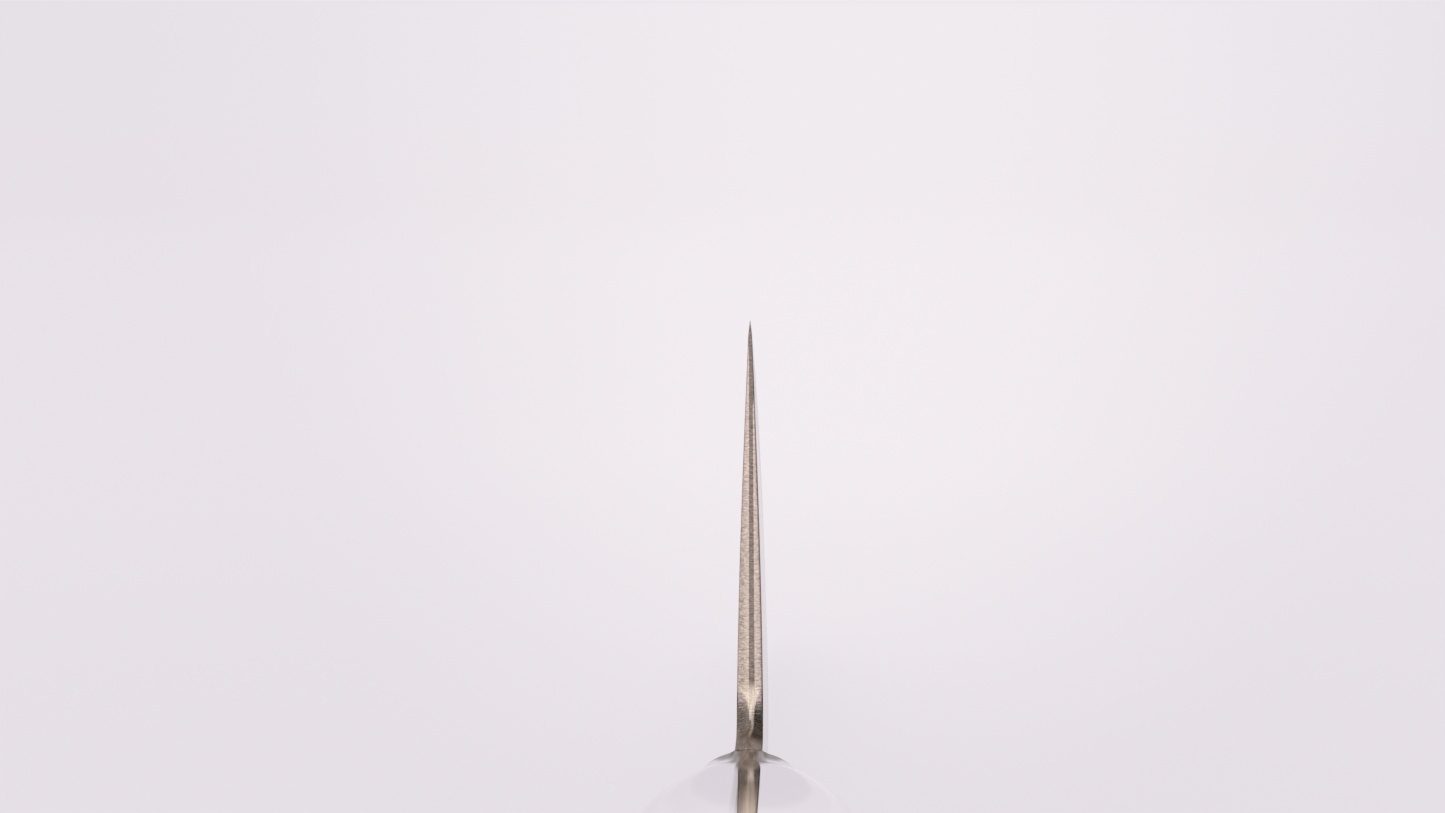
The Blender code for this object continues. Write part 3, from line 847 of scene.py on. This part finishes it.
def blade_steel(name, colour, dark, rough, core):
    """The blade's faces: hairlines along the blade, faint grinding across it, light wear."""
    mat, t, bsdf, co = surface(name, 1.0)
    hair = t.noise(t.scaled(co, (1, 160, 9000)), 1.0, 4.0, 0.7)
    cross = t.noise(t.scaled(co, (1, 5200, 130), (0, 2.0, 7.0)), 1.0, 3.0, 0.6)
    cloud = t.noise(t.scaled(co, (1, 45, 60), (0, 5.0, 1.0)), 1.0, 3.0, 0.5)
    scuff = t.step(t.noise(t.scaled(co, (1, 420, 2600), (0, 1.0, 3.0), (0.35, 0, 0)), 1.0, 2.0, 0.5), 0.66, 0.72)
    mixed = t.math("ADD", t.math("MULTIPLY", hair, 0.65), t.math("MULTIPLY", cross, 0.35))
    tone = t.mix(t.step(mixed, 0.35, 0.65), dark, colour)
    tone = t.mix(t.math("MULTIPLY", t.step(cloud, 0.42, 0.68), 0.25), tone, dark)
    t.put(bsdf.inputs["Base Color"], tone)
    r = t.math("ADD", t.math("MULTIPLY", mixed, 0.14), rough - 0.07)
    r = t.math("ADD", r, t.math("MULTIPLY", scuff, 0.08))
    t.put(bsdf.inputs["Roughness"], r)
    normal = t.bump(mixed, 0.35, 0.00002 if core else 0.00003)
    t.put(bsdf.inputs["Normal"], normal)
    return mat


def polished_steel(name, colour, rough):
    mat, t, bsdf, co = surface(name, 1.0)
    haze = t.noise(t.scaled(co, (220, 140, 220)), 1.0, 3.0, 0.5)
    swirl = t.noise(t.scaled(co, (900, 5200, 900), (1.0, 2.0, 0.0), (0.2, 0.3, 0.4)), 1.0, 3.0, 0.7)
    hairs = t.step(swirl, 0.70, 0.76)
    tone = t.mix(t.math("MULTIPLY", t.step(haze, 0.45, 0.7), 0.5), colour, tuple(c * 0.96 for c in colour))
    y = t.dot(co, (0.0, 1.0, 0.0))
    x = t.math("ABSOLUTE", t.dot(co, (1.0, 0.0, 0.0)))
    z = t.dot(co, (0.0, 0.0, 1.0))
    nose = (BOLSTER_FRONT + Y_OF_HEEL) * MM
    # Round the neck the bolster's front is rougher, and painted a streaked dark brown with a dimmer specular tint:
    # painted shade.
    ragged = t.math("MULTIPLY", t.math("SUBTRACT", t.noise(t.scaled(co, (2200, 600, 600)), 1.0, 2.0, 0.6), 0.5), 0.0012)
    side = t.step(x, 0.00092, 0.00062)
    skirt = t.math("MULTIPLY", t.step(x, 0.00150, 0.00075), t.step(y, nose - 0.0064, nose - 0.0040))
    near_neck = t.math("MULTIPLY", t.step(t.math("ADD", y, ragged), nose - 0.0105, nose - 0.0050), side)
    near_neck = t.math("MAXIMUM", near_neck, skirt)
    near_neck = t.math("MULTIPLY", near_neck, t.step(z, 0.0120, 0.0124))
    # Painted shade: a strip 1.2 to 1.8 mm wide along the middle of the bolster's upper face, from the nose back, is
    # painted darker.
    painted_strip_shade = t.math("MULTIPLY", t.math("MULTIPLY", t.step(y, nose - 0.042, nose - 0.018), side), t.step(z, 0.0120, 0.0124))
    streak = t.noise(t.scaled(co, (3600, 420, 420), (2.0, 1.0, 0.0), (0, 0, 0.12)), 1.0, 3.0, 0.6)
    tone = t.mix(t.math("MULTIPLY", painted_strip_shade, 0.85), tone, (0.28, 0.25, 0.23))
    tone = t.mix(t.math("MULTIPLY", near_neck, 0.85), tone, t.mix(t.step(streak, 0.38, 0.64), (0.13, 0.112, 0.098), (0.38, 0.335, 0.295)))
    t.put(bsdf.inputs["Base Color"], tone)
    # Painted shade on the reflection: a strip 0.2 mm right of the middle of the upper face gets a darker specular tint,
    # from about 12 mm behind the nose towards the rear.
    lean = t.math("ABSOLUTE", t.math("SUBTRACT", t.dot(co, (1.0, 0.0, 0.0)), 0.00020))
    painted_reflection_shade = t.math("MULTIPLY", t.math("MULTIPLY", t.step(y, nose - 0.042, nose - 0.018), t.step(lean, 0.00074, 0.00060)), t.step(y, nose - 0.0115, nose - 0.0165))
    painted_reflection_shade = t.math("MULTIPLY", painted_reflection_shade, t.step(z, 0.0120, 0.0124))
    strip_shaded_tint = t.mix(painted_reflection_shade, (1.0, 1.0, 1.0), (0.52, 0.50, 0.48))
    # Near the neck the specular tint is dimmer still: painted shade on the reflection.
    t.put(bsdf.inputs["Specular Tint"], t.mix(t.math("MULTIPLY", near_neck, 0.80), strip_shaded_tint, (0.74, 0.71, 0.68)))
    r = t.math("ADD", t.math("MULTIPLY", haze, 0.03), rough)
    r = t.math("ADD", r, t.math("MULTIPLY", near_neck, 0.22))
    t.put(bsdf.inputs["Roughness"], t.math("ADD", r, t.math("MULTIPLY", hairs, 0.05)))
    t.put(bsdf.inputs["Normal"], t.bump(t.math("ADD", t.math("MULTIPLY", haze, 0.2), t.math("MULTIPLY", swirl, 0.05)), 0.10, 0.00001))
    return mat


def brushed_edge(name, colour, rough):
    mat, t, bsdf, co = surface(name, 1.0)
    lines = t.noise(t.scaled(co, (9000, 220, 220)), 1.0, 4.0, 0.7)
    cloud = t.noise(t.scaled(co, (90, 60, 90)), 1.0, 2.0, 0.5)
    tone = t.mix(t.step(lines, 0.35, 0.65), tuple(c * 0.80 for c in colour), colour)
    tone = t.mix(t.math("MULTIPLY", cloud, 0.2), tone, tuple(c * 0.7 for c in colour))
    t.put(bsdf.inputs["Base Color"], tone)
    t.put(bsdf.inputs["Roughness"], t.math("ADD", t.math("MULTIPLY", lines, 0.16), rough - 0.06))
    t.put(bsdf.inputs["Normal"], t.bump(lines, 0.3, 0.00003))
    return mat


def rivet_metal(name, colour):
    mat, t, bsdf, co = surface(name, 1.0)
    lines = t.noise(t.scaled(co, (600, 500, 8000)), 1.0, 4.0, 0.7)
    scuff = t.step(t.noise(t.scaled(co, (900, 700, 900)), 1.0, 3.0, 0.6), 0.62, 0.75)
    tone = t.mix(t.step(lines, 0.35, 0.65), tuple(c * 0.86 for c in colour), colour)
    t.put(bsdf.inputs["Base Color"], tone)
    r = t.math("ADD", t.math("MULTIPLY", lines, 0.12), 0.16)
    t.put(bsdf.inputs["Roughness"], t.math("ADD", r, t.math("MULTIPLY", scuff, 0.12)))
    t.put(bsdf.inputs["Normal"], t.bump(lines, 0.25, 0.00002))
    return mat


def laminated_wood(name):
    """Black resin-filled birch laminate: thin layers along the handle, pores and a satin coat."""
    mat, t, bsdf, co = surface(name, 0.0)
    warped = t.noise(t.scaled(co, (60, 14, 60)), 1.0, 3.0, 0.5)
    x = t.dot(co, (1.0, 0.0, 0.0))
    shift = t.math("ADD", x, t.math("MULTIPLY", warped, 0.0016))
    ply = t.math("FRACT", t.math("MULTIPLY", shift, 1450.0))
    band = t.math("SUBTRACT", 1.0, t.math("ABSOLUTE", t.math("SUBTRACT", t.math("MULTIPLY", ply, 2.0), 1.0)))
    fibre = t.noise(t.scaled(co, (2600, 90, 2600)), 1.0, 4.0, 0.65)
    pores = t.step(t.noise(t.scaled(co, (4200, 330, 4200), (2.0, 1.0, 0.0)), 1.0, 2.0, 0.5), 0.62, 0.70)
    cloud = t.noise(t.scaled(co, (70, 30, 70), (0, 4.0, 0)), 1.0, 3.0, 0.5)
    tone = t.mix(t.step(band, 0.15, 0.85), (0.012, 0.009, 0.008), (0.040, 0.027, 0.021))
    tone = t.mix(t.math("MULTIPLY", t.step(fibre, 0.42, 0.70), 0.55), tone, (0.062, 0.043, 0.033))
    tone = t.mix(t.math("MULTIPLY", t.step(cloud, 0.45, 0.70), 0.35), tone, (0.018, 0.013, 0.011))
    tone = t.mix(t.math("MULTIPLY", pores, 0.6), tone, (0.006, 0.005, 0.005))
    t.put(bsdf.inputs["Base Color"], tone)
    r = t.math("ADD", t.math("MULTIPLY", fibre, 0.22), 0.24)
    t.put(bsdf.inputs["Roughness"], t.math("ADD", r, t.math("MULTIPLY", pores, 0.2)))
    bsdf.inputs["Coat Weight"].default_value = 0.18
    bsdf.inputs["Coat Roughness"].default_value = 0.22
    h = t.math("SUBTRACT", t.math("MULTIPLY", fibre, 0.5), t.math("MULTIPLY", pores, 0.8))
    t.put(bsdf.inputs["Normal"], t.bump(h, 0.35, 0.00004))
    return mat


rim_left = choil_steel("choil_cladding", (0.68, 0.582, 0.51), (0.355, 0.295, 0.252), False)
rim_core = choil_steel("choil_core", (0.34, 0.285, 0.255), (0.20, 0.168, 0.15), True)
side_clad = blade_steel("blade_cladding", (0.78, 0.765, 0.76), (0.63, 0.615, 0.61), 0.16, False)
side_core = blade_steel("blade_core_face", (0.60, 0.59, 0.59), (0.47, 0.46, 0.46), 0.18, True)
mirror = polished_steel("bolster_mirror", (0.78, 0.745, 0.775), 0.035)
tang_mat = brushed_edge("tang_brushed", (0.60, 0.585, 0.575), 0.28)
rivet_mat = rivet_metal("rivet_dressed", (0.72, 0.71, 0.70))
wood = laminated_wood("handle_laminate")

layer("show_blade_cladding_left", "left", lambda s, z: -outer(s, z),
      lambda s, z: -clad_inner(s, z, start_left, core_left), [side_clad, rim_left])
layer("show_blade_cladding_right", "right", lambda s, z: clad_inner(s, z, start_right, core_right),
      lambda s, z: outer(s, z), [side_clad, rim_left])
layer("show_blade_core", "core", lambda s, z: -core_outer(s, z, start_left, core_left),
      lambda s, z: core_outer(s, z, start_right, core_right), [side_core, rim_core])
build_bolster(mirror)
build_tang(tang_mat)
for side, name in ((-1, "scale_left"), (1, "scale_right")):
    drill(build_scale(side, name, wood), side)
for word, (station, height) in zip(("front", "middle", "rear"), RIVETS):
    build_rivet(f"rivet_{word}_tube", -1, station, height, True, rivet_mat)
    build_rivet(f"rivet_{word}_pin", 1, station, height, False, rivet_mat)


# ---------------------------------------------------------------- studio
SUN_POWER = 1.0
KEY_LIGHT = 1.45                            # the soft box behind the handle
HAZE_EDGE = (0.792, 0.752, 0.799)           # the paper far away, at the picture's sides
HAZE_CENTRE = (0.871, 0.830, 0.863)         # and where the light falls on it
NEAR_EDGE = (0.766, 0.728, 0.777)           # the paper close to the knife
NEAR_CENTRE = (0.791, 0.752, 0.799)
FLOOR_ALBEDO = 0.20
FLOOR_LIT = (0.150, 0.143, 0.150)           # what the lights add on that albedo


def centre_weight(t, x, y):
    """1 along the middle of the paper, falling to both sides."""
    lateral = t.math("DIVIDE", x, t.math("MAXIMUM", y, 0.05))
    return t.step(t.math("ABSOLUTE", t.math("SUBTRACT", lateral, 0.02)), 0.20, 0.01)


world = bpy.data.worlds.new("studio")
bpy.context.scene.world = world
world.use_nodes = True
t = Tree(world)
wout = t.node("ShaderNodeOutputWorld")
back = t.node("ShaderNodeBackground")
t.tree.links.new(back.outputs[0], wout.inputs[0])
d = t.node("ShaderNodeTexCoord").outputs["Generated"]


def lobe(t, d, aim, lo, hi):
    return t.step(t.dot(d, tuple(Vector(aim).normalized())), lo, hi)


right = t.dot(d, (1.0, 0.0, 0.0))
front = t.dot(d, (0.0, 1.0, 0.0))
up = t.dot(d, (0.0, 0.0, 1.0))
middle = t.math("MULTIPLY", centre_weight(t, right, front), t.step(front, 0.0, 0.5))
sky = t.mix(middle, HAZE_EDGE, HAZE_CENTRE)
sky = t.mix(t.step(up, 0.031, 0.16), sky, (0.835, 0.795, 0.835))
panel = t.math("MULTIPLY", lobe(t, d, (0.0, 1.0, -0.015), 0.9910, 0.99415), t.step(up, 0.0290, 0.0340))
sky = t.mix(panel, sky, (0.790, 0.738, 0.790))
ahead = t.math("MULTIPLY", t.step(up, 0.24, 0.50), t.step(front, -0.15, 0.35))
sky = t.mix(t.math("MULTIPLY", ahead, 0.80), sky, (0.33, 0.31, 0.30))
high = t.step(up, 0.12, 0.34)
sky = t.mix(t.math("MULTIPLY", lobe(t, d, (0.80, -0.10, 0.60), 0.70, 0.88), t.math("MULTIPLY", high, 0.96)), sky, (0.055, 0.05, 0.046))
sky = t.mix(t.math("MULTIPLY", lobe(t, d, (-0.80, -0.10, 0.60), 0.70, 0.88), t.math("MULTIPLY", high, 0.85)), sky, (0.11, 0.10, 0.095))
sky = t.mix(lobe(t, d, (0.0, -0.87, 0.49), 0.76, 0.90), sky, (KEY_LIGHT, KEY_LIGHT * 0.96, KEY_LIGHT * 0.92))
t.put(back.inputs["Color"], sky)
back.inputs["Strength"].default_value = 1.0

floor_mesh = bpy.data.meshes.new("floor")
bm = bmesh.new()
bmesh.ops.create_circle(bm, cap_ends=True, cap_tris=False, segments=96, radius=60.0)
bm.to_mesh(floor_mesh)
bm.free()
floor = bpy.data.objects.new("floor", floor_mesh)
bpy.context.scene.collection.objects.link(floor)
floor.location = (0, 0, -0.0001)
floor_mat = bpy.data.materials.new("floor_paper")
floor_mat.use_nodes = True
ft = Tree(floor_mat)
fout = ft.node("ShaderNodeOutputMaterial")
fb = ft.node("ShaderNodeBsdfPrincipled")
ft.tree.links.new(fb.outputs[0], fout.inputs[0])
fb.inputs["Roughness"].default_value = 0.9
fb.inputs["Specular IOR Level"].default_value = 0.0
fco = ft.node("ShaderNodeTexCoord").outputs["Object"]
grain = ft.noise(ft.scaled(fco, (900, 900, 900)), 1.0, 2.0, 0.5)
tint = (FLOOR_ALBEDO, FLOOR_ALBEDO * 0.965, FLOOR_ALBEDO)
ft.put(fb.inputs["Base Color"], ft.mix(ft.math("MULTIPLY", grain, 0.5), tint, tuple(0.97 * c for c in tint)))
fx, fy = ft.dot(fco, (1.0, 0.0, 0.0)), ft.dot(fco, (0.0, 1.0, 0.0))
away = ft.math("SQRT", ft.math("ADD", ft.math("MULTIPLY", fx, fx), ft.math("MULTIPLY", fy, fy)))
far = ft.step(away, -0.08, 0.42)
weight = ft.math("MULTIPLY", centre_weight(ft, fx, ft.math("ADD", fy, 0.138)), ft.step(fy, -0.10, 0.05))
# The floor's glow is painted in light and shade: brighter along the middle ahead, where the light falls, darker near
# the knife and to the sides, and a little darker far out.
paper = ft.mix(far, ft.mix(weight, NEAR_EDGE, NEAR_CENTRE), ft.mix(weight, HAZE_EDGE, HAZE_CENTRE))
paper = ft.mix(ft.step(away, 1.1, 2.6), paper, ft.mix(1.0, paper, (0.984, 0.984, 0.984), "MULTIPLY"))
ft.put(fb.inputs["Emission Color"], ft.mix(1.0, paper, FLOOR_LIT, "SUBTRACT"))
fb.inputs["Emission Strength"].default_value = 1.0
floor_mesh.materials.append(floor_mat)

sun = bpy.data.lights.new("soft_top", "SUN")
sun.energy = SUN_POWER
sun.angle = math.radians(120)
sun.color = (1.0, 0.975, 1.0)
sun_obj = bpy.data.objects.new("soft_top", sun)
sun_obj.rotation_euler = (math.radians(12), math.radians(-10), 0)
sun_obj.visible_glossy = False
bpy.context.scene.collection.objects.link(sun_obj)

# ---------------------------------------------------------------- camera
CAM_X, CAM_BACK, CAM_UP = 3.0, 273.0, 13.3
FOCAL = 4014.0                                  # in pixels of the 1445 wide frame
CENTRE_X, AXIS_Y = 750.2, 125.0
vanish_x = CENTRE_X + CAM_X / CAM_BACK * FOCAL
yaw = math.atan((vanish_x - 722.5) / FOCAL)
pitch = math.atan((406.5 - AXIS_Y) / FOCAL * math.cos(yaw))
cam_data = bpy.data.cameras.new("camera")
cam_data.sensor_width = 36.0
cam_data.lens = FOCAL / 1445 * 36.0
cam_data.clip_start, cam_data.clip_end = 0.01, 100.0
cam = bpy.data.objects.new("camera", cam_data)
cam.location = at(CAM_X, -CAM_BACK, HEEL_HEIGHT + CAM_UP)
look = Vector((-math.sin(yaw) * math.cos(pitch), math.cos(yaw) * math.cos(pitch), -math.sin(pitch)))
cam.rotation_euler = look.to_track_quat("-Z", "Y").to_euler()
bpy.context.scene.collection.objects.link(cam)
bpy.context.scene.camera = cam
bpy.context.scene.view_settings.view_transform = "Standard"
bpy.context.scene.view_settings.look = "None"
